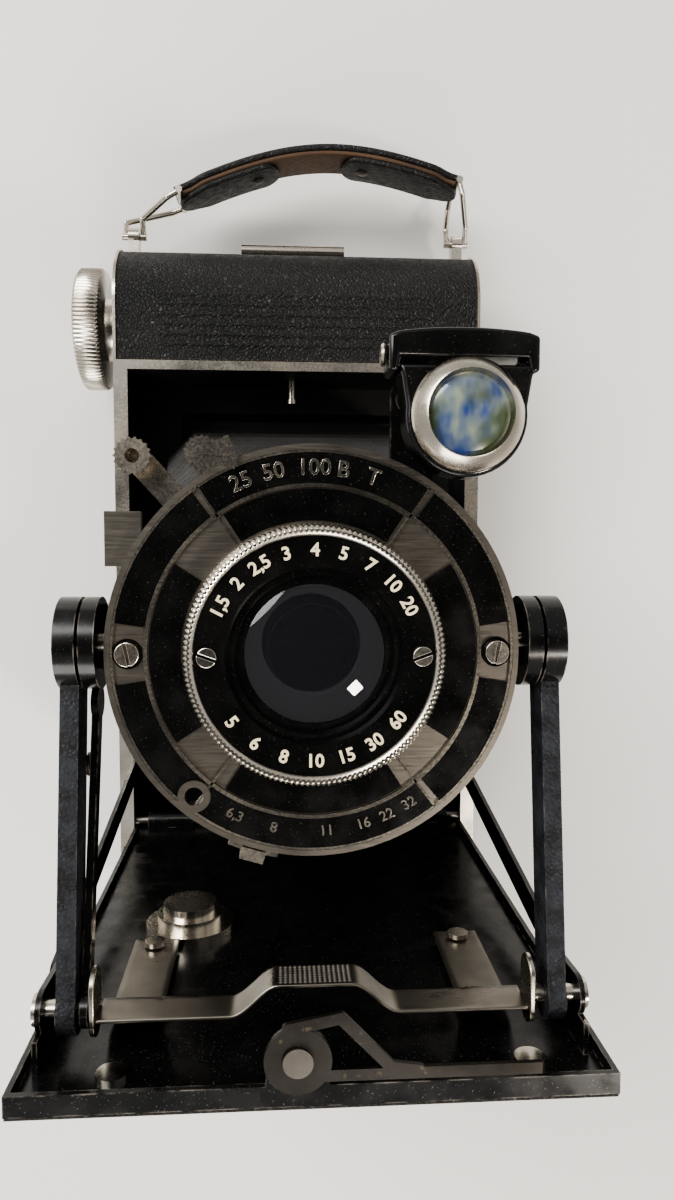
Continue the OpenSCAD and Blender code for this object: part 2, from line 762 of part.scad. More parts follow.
module finder_housing() color([0.04, 0.04, 0.04]) {
    inside = finder_back + finder_wall;
    difference() {
        union() {
            translate([0, 0, finder_back]) linear_extrude(finder_front - finder_back) {
                translate([finder_x, finder_y]) circle(7.8);
                polygon([[finder_x - 7.8, finder_y], [finder_x + 7.8, finder_y],
                    [finder_x + 8.4, finder_top - 5], [finder_x - 8.4, finder_top - 5]]);
            }
            box(finder_x - 10, finder_x + 9.1, finder_top - 5.7, finder_top,
                finder_back, finder_front + 0.4);
        }
        disc(6, inside, finder_front + 1, finder_x, finder_y);
        disc(2.3, inside, finder_front - 0.8, swivel_x, swivel_y);
        box(finder_x - 8.8, finder_x + 7.9, finder_y + 4, finder_top - finder_wall,
            inside, finder_front - 0.8);
        disc(1 + fit, finder_back - 1, inside + 1, swivel_x, swivel_y);
    }
    difference() {
        translate([finder_x, finder_y, finder_front]) cylinder(r1 = finder_r, r2 = finder_r - 1.6, h = 2.7);
        disc(5.2, finder_front - 1, finder_front + 3, finder_x, finder_y);
    }
}

module finder_glass() color([0.45, 0.55, 0.7, 0.5])
    disc(5.15, finder_front + 0.2, finder_front + 1.6, finder_x, finder_y);

body_shell();
end_leather_top();
end_leather_bottom();
side_leathers();
side_rails();
opening_trim();
film_frame();
roller_upper();
roller_lower();
bed_hinge_pin();
spool_pins();
take_up_spool();
feed_spool();
winding_knob();
winding_shaft();
knob_bearing();
bed_catch();
back_cover();
back_leather();
back_hinge_pin();
pressure_plate();
red_window();
window_slide();
back_latch();
handle_lugs();
wire_loop_left();
wire_loop_right();
handle_strap();
bed_plate();
bed_leather();
bed_lugs();
strut_pins();
brace_pins();
tripod_bush();
bed_rivets();
release_bar();
support_leg();
leg_rivet();
strut_left();
strut_right();
strut_caps();
inner_link();
brace_left();
brace_right();
standard_plate();
standard_pins();
bellows();
shutter_case();
shutter_blades();
front_plate();
plate_enamel();
release_lever();
speed_pointer();
aperture_pointer();
cable_socket();
focus_ring();
front_cell();
lens_glass();
finder_housing();
finder_glass();
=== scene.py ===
"""Folding camera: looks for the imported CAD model. Metres, +Z along the lens axis, +Y towards the handle."""
import json
import math

import bmesh
import bpy
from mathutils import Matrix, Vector


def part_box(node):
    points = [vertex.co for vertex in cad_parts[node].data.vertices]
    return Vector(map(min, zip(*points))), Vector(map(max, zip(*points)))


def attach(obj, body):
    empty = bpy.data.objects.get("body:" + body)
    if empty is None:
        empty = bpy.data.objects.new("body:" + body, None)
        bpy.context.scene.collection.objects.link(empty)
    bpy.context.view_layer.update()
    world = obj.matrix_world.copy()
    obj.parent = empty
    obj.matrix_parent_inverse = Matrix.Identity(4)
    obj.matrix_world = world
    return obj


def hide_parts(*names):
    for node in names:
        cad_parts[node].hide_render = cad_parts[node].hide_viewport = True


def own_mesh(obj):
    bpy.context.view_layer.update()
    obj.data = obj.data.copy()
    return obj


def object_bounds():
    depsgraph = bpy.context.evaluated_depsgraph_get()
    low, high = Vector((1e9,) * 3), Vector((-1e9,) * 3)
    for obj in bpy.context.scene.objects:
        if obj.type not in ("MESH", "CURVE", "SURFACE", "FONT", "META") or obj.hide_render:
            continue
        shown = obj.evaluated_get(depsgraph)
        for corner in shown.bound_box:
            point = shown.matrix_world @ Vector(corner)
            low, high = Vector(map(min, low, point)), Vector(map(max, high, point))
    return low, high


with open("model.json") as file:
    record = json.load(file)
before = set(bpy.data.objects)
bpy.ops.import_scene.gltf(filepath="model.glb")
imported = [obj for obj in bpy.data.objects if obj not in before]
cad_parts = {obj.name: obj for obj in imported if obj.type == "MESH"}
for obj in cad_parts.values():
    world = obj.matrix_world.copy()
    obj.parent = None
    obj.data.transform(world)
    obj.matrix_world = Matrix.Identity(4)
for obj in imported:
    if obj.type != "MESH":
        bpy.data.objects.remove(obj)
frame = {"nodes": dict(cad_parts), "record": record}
cad_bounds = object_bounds()
NODES = frame["nodes"]
MM = 0.001
TAU = 2 * math.pi


# ---------- node materials ----------

class Nodes:
    """Small helper that builds a Principled material node by node."""

    def __init__(self, name):
        self.material = bpy.data.materials.new(name)
        self.material.use_nodes = True
        self.tree = self.material.node_tree
        self.shader = self.tree.nodes["Principled BSDF"]
        self.coords = self.tree.nodes.new("ShaderNodeTexCoord").outputs["Object"]

    def add(self, kind, **inputs):
        node = self.tree.nodes.new(kind)
        for key, value in inputs.items():
            socket = node.inputs[key.replace("_", " ")]
            if isinstance(value, bpy.types.NodeSocket):
                self.tree.links.new(value, socket)
            else:
                socket.default_value = value
        return node

    def noise(self, scale, detail=3.0, roughness=0.5, stretch=None):
        vector = self.coords
        if stretch:
            vector = self.add("ShaderNodeMapping", Vector=self.coords, Scale=stretch).outputs[0]
        return self.add("ShaderNodeTexNoise", Vector=vector, Scale=scale, Detail=detail,
                        Roughness=roughness).outputs["Fac"]

    def cells(self, scale, feature="DISTANCE_TO_EDGE"):
        node = self.add("ShaderNodeTexVoronoi", Vector=self.coords, Scale=scale)
        node.feature = feature
        return node.outputs["Distance"]

    def ramp(self, value, low, high, out_low=0.0, out_high=1.0):
        return self.add("ShaderNodeMapRange", Value=value, From_Min=low, From_Max=high,
                        To_Min=out_low, To_Max=out_high).outputs[0]

    def math(self, operation, a, b):
        node = self.tree.nodes.new("ShaderNodeMath")
        node.operation = operation
        for socket, value in zip(node.inputs, (a, b)):
            if isinstance(value, bpy.types.NodeSocket):
                self.tree.links.new(value, socket)
            else:
                socket.default_value = value
        return node.outputs[0]

    def mix(self, factor, a, b):
        node = self.tree.nodes.new("ShaderNodeMix")
        node.data_type = "RGBA"
        for socket, value in ((node.inputs[0], factor), (node.inputs[6], a), (node.inputs[7], b)):
            if isinstance(value, bpy.types.NodeSocket):
                self.tree.links.new(value, socket)
            else:
                socket.default_value = value
        return node.outputs[2]

    def edges(self, radius=0.35, low=0.03, high=0.25):
        """1 along sharp edges, where paint and plating wear first."""
        rounded = self.add("ShaderNodeBevel", Radius=radius * MM).outputs[0]
        flat = self.tree.nodes.new("ShaderNodeNewGeometry").outputs["Normal"]
        dot = self.tree.nodes.new("ShaderNodeVectorMath")
        dot.operation = "DOT_PRODUCT"
        self.tree.links.new(rounded, dot.inputs[0])
        self.tree.links.new(flat, dot.inputs[1])
        return self.ramp(dot.outputs["Value"], 1 - low, 1 - high)

    def set(self, **inputs):
        for key, value in inputs.items():
            socket = self.shader.inputs[key.replace("_", " ")]
            if isinstance(value, bpy.types.NodeSocket):
                self.tree.links.new(value, socket)
            else:
                socket.default_value = value
        return self

    def bump(self, height, strength, distance):
        node = self.add("ShaderNodeBump", Height=height, Strength=strength, Distance=distance)
        self.tree.links.new(node.outputs[0], self.shader.inputs["Normal"])
        return self


def grey(value, warm=1.0):
    return (value * warm, value, value / warm, 1.0)


def metal(name, light, dark, rough, brushed=None):
    """Plated metal with tarnish clouds, fine scratches and a satin that varies."""
    m = Nodes(name)
    cloud = m.noise(90, 4)
    grain = m.noise(1400, 2, stretch=brushed) if brushed else m.noise(2600, 2)
    spots = m.ramp(m.noise(700, 2), 0.66, 0.72)
    tone = m.mix(m.ramp(cloud, 0.35, 0.68), light, dark)
    m.set(Base_Color=m.mix(m.math("MULTIPLY", spots, 0.35), tone, (0.2, 0.16, 0.11, 1)), Metallic=1.0)
    m.set(Roughness=m.ramp(m.math("ADD", cloud, m.math("MULTIPLY", grain, 0.4)), 0.45, 0.95, *rough))
    return m.bump(grain, 0.10 if brushed else 0.04, 0.00008).material


def enamel(name, base, rough, dust=0.05, wear=True):
    """Black enamel with dust, fine orange peel and bare metal on worn edges."""
    m = Nodes(name)
    specks = m.ramp(m.noise(3800, 1), 0.69, 0.76)
    cloud = m.noise(60, 4)
    tone = m.mix(m.ramp(cloud, 0.3, 0.75), grey(base), grey(base * 2.1, 1.03))
    tone = m.mix(m.math("MULTIPLY", specks, dust * 3), tone, grey(0.35, 1.05))
    if wear:
        worn = m.math("MULTIPLY", m.edges(), m.ramp(m.noise(420, 3), 0.46, 0.66))
        tone = m.mix(m.math("MULTIPLY", worn, 0.8), tone, (0.34, 0.30, 0.25, 1))
    m.set(Base_Color=tone, Roughness=m.ramp(m.noise(240, 5), 0.3, 0.75, *rough))
    m.set(Specular_IOR_Level=0.4)
    return m.bump(m.noise(900, 2), 0.05, 0.0001).material


def grained_leather(name, base, grain=1500, depth=0.00022, rough=(0.38, 0.62), warm=1.02):
    """Leather: a net of fine creases over a softer pebble, with rubbed high spots."""
    m = Nodes(name)
    crease = m.ramp(m.cells(grain), 0.0, 0.22)
    pebble = m.noise(grain * 0.55, 3)
    height = m.math("ADD", crease, m.math("MULTIPLY", pebble, 0.8))
    tone = m.mix(m.ramp(m.noise(70, 4), 0.3, 0.7), grey(base, warm), grey(base * 1.9, warm * 1.03))
    rubbed = m.math("MULTIPLY", m.edges(0.5), 0.4)
    m.set(Base_Color=m.mix(rubbed, tone, (0.12, 0.08, 0.055, 1)))
    m.set(Roughness=m.ramp(pebble, 0.35, 0.7, *rough))
    m.set(Specular_IOR_Level=0.32)
    return m.bump(height, 0.55, depth).material


def crinkle_paint():
    m = Nodes("crinkle_paint")
    height = m.math("ADD", m.ramp(m.cells(1900, "F1"), 0.0, 0.7), m.noise(1500, 4))
    patch = m.ramp(m.noise(260, 5, 0.7), 0.38, 0.68)
    tone = m.mix(patch, (0.006, 0.0065, 0.008, 1), (0.028, 0.03, 0.036, 1))
    worn = m.math("MULTIPLY", m.edges(), m.ramp(m.noise(500, 3), 0.5, 0.7, 0.0, 0.6))
    m.set(Base_Color=m.mix(worn, tone, (0.25, 0.22, 0.18, 1)))
    m.set(Roughness=m.ramp(m.noise(500, 3), 0.3, 0.7, 0.42, 0.72))
    m.set(Specular_IOR_Level=0.3)
    return m.bump(height, 0.5, 0.00025).material


def glass(name, tint, rough=0.02, ior=1.52):
    m = Nodes(name)
    m.set(Base_Color=m.mix(m.ramp(m.noise(500, 4), 0.6, 0.85, 0.0, 0.25), tint, grey(0.3, 1.02)),
          Roughness=m.ramp(m.noise(900, 3), 0.5, 0.8, rough, rough + 0.05))
    m.set(Transmission_Weight=0.97, IOR=ior)
    return m.material


def finder_mirror():
    """What shows in the finder: a mirror under domed glass, with blurred blue and green reflections that are
    painted into its base colour as noise blotches.
    """
    m = Nodes("finder_mirror")
    shapes = m.noise(260, 2, 0.5, stretch=(1.6, 0.8, 1.0))
    # Painted reflection: green-grey, blue and dark green noise blotches in the base colour stand for what the
    # finder mirror reflects.
    painted_reflection_colours = m.mix(m.ramp(shapes, 0.34, 0.62), (0.24, 0.28, 0.22, 1), (0.03, 0.06, 0.20, 1))
    tone = m.mix(m.ramp(m.noise(180, 2), 0.48, 0.66), painted_reflection_colours, (0.05, 0.07, 0.03, 1))
    m.set(Base_Color=tone, Roughness=m.ramp(shapes, 0.3, 0.7, 0.12, 0.25), Metallic=0.2)
    m.set(Coat_Weight=1.0, Coat_Roughness=0.04)
    return m.material


def flat_paint(name, colour, rough=0.45):
    m = Nodes(name)
    dim = tuple(c * 0.72 for c in colour[:3]) + (1,)
    m.set(Base_Color=m.mix(m.ramp(m.noise(900, 3), 0.4, 0.7), colour, dim),
          Roughness=m.ramp(m.noise(700, 2), 0.3, 0.7, rough - 0.1, rough + 0.12))
    return m.bump(m.noise(2400, 2), 0.1, 0.00005).material


MATERIALS = {
    "leather": grained_leather("leather", 0.006, 1300, 0.0003),
    "strap_leather": grained_leather("strap_leather", 0.007, 1100, 0.0002, (0.34, 0.55)),
    "strap_edge": grained_leather("strap_edge", 0.035, 2200, 0.0001, (0.5, 0.7), 1.7),
    "bellows_leather": grained_leather("bellows_leather", 0.022, 2000, 0.00012, (0.5, 0.75)),
    "black_enamel": enamel("black_enamel", 0.0035, (0.12, 0.3)),
    "bed_enamel": enamel("bed_enamel", 0.003, (0.14, 0.36), 0.09),
    "face_enamel": enamel("face_enamel", 0.002, (0.16, 0.34), 0.04, False),
    "black_metal": enamel("black_metal", 0.006, (0.45, 0.7), 0.03, False),
    "cell_black": enamel("cell_black", 0.002, (0.18, 0.32), 0.03, False),
    "spool_paint": enamel("spool_paint", 0.01, (0.35, 0.55), 0.03),
    "crinkle_paint": crinkle_paint(),
    "nickel": metal("nickel", (0.76, 0.71, 0.63, 1), (0.46, 0.41, 0.34, 1), (0.12, 0.34)),
    "brushed_nickel": metal("brushed_nickel", (0.30, 0.275, 0.24, 1), (0.15, 0.135, 0.115, 1),
                            (0.24, 0.46), (0.15, 2.5, 1.0)),
    "worn_steel": metal("worn_steel", (0.24, 0.22, 0.20, 1), (0.09, 0.08, 0.07, 1), (0.3, 0.55)),
    "lens_glass": glass("lens_glass", (0.26, 0.26, 0.31, 1), 0.01),
    "lens_barrel": enamel("lens_barrel", 0.0015, (0.25, 0.4), 0.0, False),
    "finder_glass": finder_mirror(),
    "red_window": glass("red_window", (0.45, 0.01, 0.01, 1), 0.1, 1.48),
    "dark_steel": metal("dark_steel", (0.07, 0.065, 0.06, 1), (0.025, 0.023, 0.02, 1), (0.3, 0.55)),
    "cream_paint": flat_paint("cream_paint", (0.82, 0.72, 0.50, 1)),
}


def dress_cad_nodes():
    """Gives every CAD node the material of its slot, with a closer choice for a few."""
    special = {"bed_plate": "bed_enamel", "shutter_blades": "lens_barrel", "support_leg": "dark_steel",
               "leg_rivet": "worn_steel"}
    for part in frame["record"]["subparts"]:
        node = NODES[part["node"]]
        name = special.get(part["node"], part["material_slot"])
        if node.material_slots:
            node.material_slots[0].material = MATERIALS[name]
        else:
            node.data.materials.append(MATERIALS[name])


def soften_cad_edges():
    """Rounds the edges of stamped and turned parts, as their tools leave them."""
    widths = {"support_leg": 0.2, "release_lever": 0.12, "cable_socket": 0.12,
              "speed_pointer": 0.15, "aperture_pointer": 0.15, "strut_left": 0.35, "strut_right": 0.35,
              "strut_caps": 0.7, "brace_left": 0.2, "brace_right": 0.2, "tripod_bush": 0.25,
              "bed_plate": 0.2, "handle_lugs": 0.3, "back_latch": 0.3, "bed_rivets": 0.3, "leg_rivet": 0.12}
    for name, width in widths.items():
        bevel(NODES[name], width, 3, 40)


# ---------- mesh helpers ----------

def piece(name, verts, faces, body, material, replaces=(), smooth=None):
    """Makes a mesh object from millimetres, rides it on a body and gives it its material."""
    mesh = bpy.data.meshes.new(name)
    mesh.from_pydata([[c * MM for c in v] for v in verts], [], faces)
    bm = bmesh.new()
    bm.from_mesh(mesh)
    bmesh.ops.remove_doubles(bm, verts=bm.verts, dist=1e-6)
    bmesh.ops.recalc_face_normals(bm, faces=bm.faces)
    bm.to_mesh(mesh)
    bm.free()
    obj = bpy.data.objects.new(name, mesh)
    bpy.context.scene.collection.objects.link(obj)
    mesh.materials.append(MATERIALS[material])
    if smooth is not None:
        mesh.shade_smooth()
        mesh.set_sharp_from_angle(angle=math.radians(smooth))
    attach(obj, body)
    if replaces:
        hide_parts(*replaces)
    return obj


def lathe(profile, steps=128, ripple=None):
    """Closed ring of (radius, height) points round Z; ripple(angle, index) scales a point's radius."""
    verts = []
    for i in range(steps):
        a = TAU * i / steps
        for k, (r, z) in enumerate(profile):
            q = r + (ripple(i, k) if ripple else 0)
            verts.append((q * math.cos(a), q * math.sin(a), z))
    n = len(profile)
    faces = []
    for i in range(steps):
        j = (i + 1) % steps
        for k in range(n):
            m = (k + 1) % n
            faces.append((i * n + k, j * n + k, j * n + m, i * n + m))
    return verts, faces


def moved(verts, x=0, y=0, z=0):
    return [(v[0] + x, v[1] + y, v[2] + z) for v in verts]


def joined(parts):
    """One list of vertices and faces from several."""
    verts, faces = [], []
    for v, f in parts:
        start = len(verts)
        verts += v
        faces += [tuple(i + start for i in face) for face in f]
    return verts, faces


def slab(outline, z0, z1):
    """Prism over an outline of (x, y) points."""
    n = len(outline)
    verts = [(x, y, z0) for x, y in outline] + [(x, y, z1) for x, y in outline]
    faces = [tuple(range(n - 1, -1, -1)), tuple(range(n, 2 * n))]
    faces += [(i, (i + 1) % n, (i + 1) % n + n, i + n) for i in range(n)]
    return verts, faces


def bevel(obj, width, segments=3, angle=35):
    mod = obj.modifiers.new("soft_edges", "BEVEL")
    mod.width = width * MM
    mod.segments = segments
    mod.limit_method = "ANGLE"
    mod.angle_limit = math.radians(angle)
    mod.harden_normals = False
    return obj


def mm_box(node):
    low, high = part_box(node)
    return [c / MM for c in low], [c / MM for c in high]


# ---------- bellows ----------

def build_bellows():
    """Pleated, tapering leather tube with chamfered corners; the frame that closes its front is not built
    here.
    """
    low, high = mm_box("bellows")
    rear = (high[0] - 0.4, high[1] - 0.4)
    front = (20.8, 19.8)
    pleats = 13
    fold = 2.3

    def ring(t, inward):
        hx = rear[0] + (front[0] - rear[0]) * t - inward
        hy = rear[1] + (front[1] - rear[1]) * t - inward
        cut = 6.5 - 2.0 * t + inward * 0.4
        z = low[2] + (high[2] - low[2]) * t
        corner = [(hx, hy - cut), (hx - cut, hy)]
        quads = [(1, 1), (-1, 1), (-1, -1), (1, -1)]
        points = []
        for sx, sy in quads:
            pair = corner if sx * sy > 0 else corner[::-1]
            points += [(sx * px, sy * py, z) for px, py in pair]
        return points

    rings = []
    for i in range(2 * pleats + 1):
        t = i / (2 * pleats)
        depth = fold * (1 - 0.25 * t)
        inward = 0.0 if i % 2 == 0 else depth
        rings.append(ring(t, inward))
    steps = len(rings)
    inner = [[(x * 0.965, y * 0.975, z) for x, y, z in r] for r in rings]
    verts = [p for r in rings + inner[::-1] for p in r]
    n = len(rings[0])
    total = 2 * steps
    faces = []
    for k in range(total):
        m = (k + 1) % total
        for i in range(n):
            j = (i + 1) % n
            faces.append((k * n + i, k * n + j, m * n + j, m * n + i))
    obj = piece("bellows_pleats", verts, faces, "body", "bellows_leather", ("bellows",))
    bevel(obj, 0.35, 2, 20)
    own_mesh(obj)


# ---------- knurled metal ----------

def knurl(count, steps, depth, band):
    """Ripple for lathe(): teeth round the points of a profile whose index is in band."""
    per = steps // count

    def ripple(i, k):
        return -depth if k in band and i % per >= per // 2 else 0.0
    return ripple


def build_focus_ring():
    low, high = mm_box("focus_ring")
    r = high[0]
    z0, z1 = low[2], high[2]
    profile = [(r - 1.5, z0), (r - 0.3, z0), (r, z0 + 0.4), (r, z1 - 1.0), (r - 0.25, z1 - 0.35),
               (r - 0.7, z1), (r - 1.25, z1 - 0.1), (r - 1.5, z1 - 0.5)]
    verts, faces = lathe(profile, 600, knurl(150, 600, 0.18, (2, 3, 4)))
    piece("focus_ring_knurled", verts, faces, "focus", "nickel", ("focus_ring",), 50)


def build_knob():
    """Winding knob: a milled rim round a dished face, on a short hub."""
    low, high = mm_box("winding_knob")
    x0, x1 = low[0], high[0]
    r = (high[1] - low[1]) / 2
    y, z = (high[1] + low[1]) / 2, (high[2] + low[2]) / 2
    depth = x1 - x0
    face = [(2.1, 0.8), (4.0, 0.7), (r - 3.0, 1.3), (r - 2.4, 0.4), (r - 1.6, 0.0), (r - 0.6, 0.3)]
    rim = [(r, 0.9), (r, 5.2), (r - 0.5, 5.8)]
    hub = [(7.2, 6.0), (7.0, 6.3), (7.0, depth - 0.2), (6.6, depth), (2.1, depth)]
    profile = face + rim + hub
    verts, faces = lathe(profile, 360, knurl(90, 360, 0.38, (6, 7)))
    verts = [(x0 + h, y + a, z + b) for a, b, h in verts]
    piece("winding_knob_milled", verts, faces, "winder", "nickel", ("winding_knob",), 50)


def smooth_step(value):
    t = min(1.0, max(0.0, value))
    return t * t * (3 - 2 * t)


def build_release_bar():
    """Release bar: a pressed sheet with legs, rounded cut-outs and S bends up to its pad, and two ears."""
    low, high = mm_box("release_bar")
    ear_out = high[0]
    ear_in = ear_out - 0.7
    pad_top = high[1]
    bar_top = pad_top - 3.8
    leg_top = bar_top - 4.25
    rear, front = low[2], high[2] - 0.02
    bar_rear = front - 5.2
    leg_in = ear_out - 7.7
    fillet = 4.0
    leg_end = bar_rear - fillet

    def height(x, z):
        rise = smooth_step((z - leg_end) / fillet)
        bend = smooth_step((10.8 - abs(x)) / 6.0)
        return leg_top + (bar_top - leg_top) * rise + (pad_top - bar_top) * bend * rise

    def column(x, z_from, z_to, rows):
        levels = [z_from + (z_to - z_from) * k / rows for k in range(rows + 1)]
        return [(x, height(x, z), z) for z in levels]

    def sheet(xs, start, end, rows):
        verts = [v for x in xs for v in column(x, start(x), end, rows)]
        per = rows + 1
        faces = [(i * per + k, (i + 1) * per + k, (i + 1) * per + k + 1, i * per + k + 1)
                 for i in range(len(xs) - 1) for k in range(rows)]
        return verts, faces

    def cut_out(x):
        over = abs(x) - (leg_in - fillet)
        if over <= 0:
            return bar_rear
        return bar_rear - fillet + math.sqrt(max(0.0, fillet ** 2 - min(over, fillet) ** 2))

    steps = 110
    xs = [-ear_in + 2 * ear_in * i / steps for i in range(steps + 1)]
    parts = [sheet(xs, cut_out, front, 10)]
    for side in (-1, 1):
        leg = sorted(side * (leg_in + (ear_in - leg_in) * i / 8) for i in range(9))
        parts.append(sheet(leg, lambda x: rear, leg_end, 16))
    verts, faces = joined(parts)
    obj = piece("release_bar_sheet", verts, faces, "bar", "brushed_nickel",
                ("release_bar",), 40)
    mod = obj.modifiers.new("sheet", "SOLIDIFY")
    mod.thickness = 0.5 * MM
    mod.offset = -1.0 if obj.data.polygons[0].normal.y > 0 else 1.0
    bevel(obj, 0.15, 2, 50)
    ears = []
    for side in (-1, 1):
        outline = []
        for i in range(33):
            a = TAU * i / 32
            lift = 4.0 if math.sin(a) > 0 else 0.0
            outline.append((bar_top - 0.4 + lift + 2.4 * math.sin(a), front - 1.8 + 2.4 * math.cos(a)))
        near, far = sorted((side * ear_in, side * ear_out))
        flat, sides = slab(outline[:-1], near, far)
        ears.append(([(x, y, z) for y, z, x in flat], sides))
    verts, faces = joined(ears)
    bevel(piece("release_bar_ears", verts, faces, "bar", "nickel", (), 40), 0.15, 2)


def build_pad_knurl():
    """Rows of small pyramids on the raised pad of the release bar."""
    low, high = mm_box("release_bar")
    top = high[1]
    z0, z1 = high[2] - 4.8, high[2] - 0.4
    rows, columns = 7, 15
    parts = []
    for i in range(columns):
        for k in range(rows):
            x = -4.7 + 9.4 * (i + 0.5) / columns
            z = z0 + (z1 - z0) * (k + 0.5) / rows
            h = 0.28
            base = [(x - h, top, z), (x, top, z - h), (x + h, top, z), (x, top, z + h)]
            parts.append((base + [(x, top + 0.24, z)],
                          [(0, 1, 4), (1, 2, 4), (2, 3, 4), (3, 0, 4), (3, 2, 1, 0)]))
    verts, faces = joined(parts)
    piece("release_pad_knurl", verts, faces, "bar", "brushed_nickel")


# ---------- raised figures ----------

def figures(name, words, radius, z, size, body, material, inward=False, thick=0.18, bold=0.0):
    """Numbers set round the lens axis: words is a list of (text, degrees clockwise from +Y)."""
    made = []
    for text, degrees in words:
        curve = bpy.data.curves.new(name, "FONT")
        curve.body = text
        curve.size = size * MM
        curve.align_x = "CENTER"
        curve.align_y = "CENTER"
        curve.extrude = thick / 2 * MM
        curve.offset = bold * MM
        curve.bevel_depth = 0.03 * MM
        curve.resolution_u = 3
        obj = bpy.data.objects.new(name, curve)
        bpy.context.scene.collection.objects.link(obj)
        a = math.radians(degrees)
        obj.location = (radius * math.sin(a) * MM, radius * math.cos(a) * MM, (z + thick / 2) * MM)
        obj.rotation_euler = (0, 0, -a + (math.pi if inward else 0))
        made.append(obj)
    bpy.context.view_layer.update()
    graph = bpy.context.evaluated_depsgraph_get()
    bm = bmesh.new()
    for obj in made:
        mesh = bpy.data.meshes.new_from_object(obj.evaluated_get(graph))
        mesh.transform(obj.matrix_world)
        bm.from_mesh(mesh)
        bpy.data.meshes.remove(mesh)
        bpy.data.objects.remove(obj)
    mesh = bpy.data.meshes.new(name)
    bm.to_mesh(mesh)
    bm.free()
    mesh.materials.append(MATERIALS[material])
    obj = bpy.data.objects.new(name, mesh)
    bpy.context.scene.collection.objects.link(obj)
    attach(obj, body)
    return obj


def build_figures():
    face = mm_box("plate_enamel")[1][2]
    speeds = [("25", -23), ("50", -12.6), ("100", 0), ("B", 9), ("T", 18.5)]
    figures("speed_figures", speeds, 23.5, face, 2.9, "standard", "nickel")
    stops = [("6,3", 206), ("8", 193), ("11", 176), ("16", 164), ("22", 156), ("32", 148)]
    figures("stop_figures", stops, 23.3, face, 1.9, "standard", "brushed_nickel",
            True, 0.1)
    cell = mm_box("front_cell")[1][2]
    metres = ["1,5", "2", "2,5", "3", "4", "5", "7", "10", "20"]
    top = [(text, -62 + 124 * i / (len(metres) - 1)) for i, text in enumerate(metres)]
    figures("distance_figures", top, 13.2, cell - 0.95, 2.3, "focus", "cream_paint",
            False, 0.5, 0.03)
    feet = ["5", "6", "8", "10", "15", "30", "60"]
    low = [(text, 232 - 104 * i / (len(feet) - 1)) for i, text in enumerate(feet)]
    figures("distance_figures_low", low, 13.2, cell - 0.95, 2.3, "focus", "cream_paint",
            True, 0.5, 0.03)


def arc_strip(r0, r1, start, end, z0, z1):
    """Flat strip along an arc, in degrees clockwise from +Y."""
    steps = max(2, int(abs(end - start) / 3))
    inner, outer = [], []
    for i in range(steps + 1):
        a = math.radians(start + (end - start) * i / steps)
        inner.append((r0 * math.sin(a), r0 * math.cos(a)))
        outer.append((r1 * math.sin(a), r1 * math.cos(a)))
    parts = []
    for i in range(steps):
        parts.append(slab([inner[i], outer[i], outer[i + 1], inner[i + 1]], z0, z1))
    return joined(parts)


def build_dividers():
    """Thin bright beads that part the enamel fields of the shutter's front plate."""
    z0 = mm_box("plate_enamel")[0][2]
    z1 = mm_box("plate_enamel")[1][2] + 0.12
    parts = [arc_strip(21.1, 21.6, 0, 360, z0, z1), arc_strip(25.45, 25.8, 0, 360, z0, z1)]
    for degrees in (-35, 35, 142, 218):
        parts.append(arc_strip(16.8, 25.6, degrees - 0.35, degrees + 0.35, z0, z1))
    verts, faces = joined(parts)
    piece("plate_beads", verts, faces, "standard", "nickel")


# ---------- screws ----------

def slotted_head(x, y, z, r, height, turn):
    """Round screw head with a slot, as a stack of outlines."""
    a = math.radians(turn)
    half = 0.17
    parts = []
    for side in (-1, 1):
        points = []
        reach = math.asin(half / r)
        for i in range(17):
            b = reach + (math.pi - 2 * reach) * i / 16
            points.append((r * math.cos(b), side * r * math.sin(b)))
        outline = [(x + p * math.cos(a) - q * math.sin(a), y + p * math.sin(a) + q * math.cos(a))
                   for p, q in points]
        parts.append(slab(outline, z, z + height))
    parts.append(slab([(x + r * 0.98 * math.cos(TAU * i / 32), y + r * 0.98 * math.sin(TAU * i / 32))
                       for i in range(32)], z, z + height * 0.35))
    return joined(parts)


def build_screws():
    cell = mm_box("front_cell")[1][2]
    parts = [slotted_head(s * 13.4, 0, cell - 0.6, 1.25, 0.7, 20 * s) for s in (-1, 1)]
    verts, faces = joined(parts)
    bevel(piece("cell_screws", verts, faces, "focus", "nickel"), 0.08, 2)
    face = mm_box("plate_enamel")[0][2]
    seat = 23.6
    parts = [slotted_head(s * seat, 0, face + 0.2, 1.55, 0.8, 78 * s) for s in (-1, 1)]
    verts, faces = joined(parts)
    bevel(piece("plate_screws", verts, faces, "standard", "nickel"), 0.1, 2)
    ring = [(1.95 * math.cos(TAU * i / 40), 1.95 * math.sin(TAU * i / 40)) for i in range(40)]
    washer, sides = slab(ring, face - 0.1, face + 0.12)
    verts, faces = joined([(moved(washer, s * seat), sides) for s in (-1, 1)])
    piece("plate_screw_seats", verts, faces, "standard", "face_enamel")


# ---------- body leather ----------

def end_profile(outset):
    """Points (y, z) along the outside of the upper end, from the front trim round to the back."""
    low, high = mm_box("end_leather_top")
    r = 13.0
    cy, cz = high[1] - r, high[2] - r
    points = []
    span = cy - low[1]
    for i in range(16):
        points.append((low[1] + span * i / 16, high[2] + outset, i / 16 * span))
    for i in range(17):
        a = math.pi / 2 * i / 16
        points.append((cy + (r + outset) * math.sin(a), cz + (r + outset) * math.cos(a), span + r * a))
    down = cz - low[2]
    for i in range(1, 9):
        points.append((high[1] + outset, cz - down * i / 8, span + r * math.pi / 2 + down * i / 8))
    return points


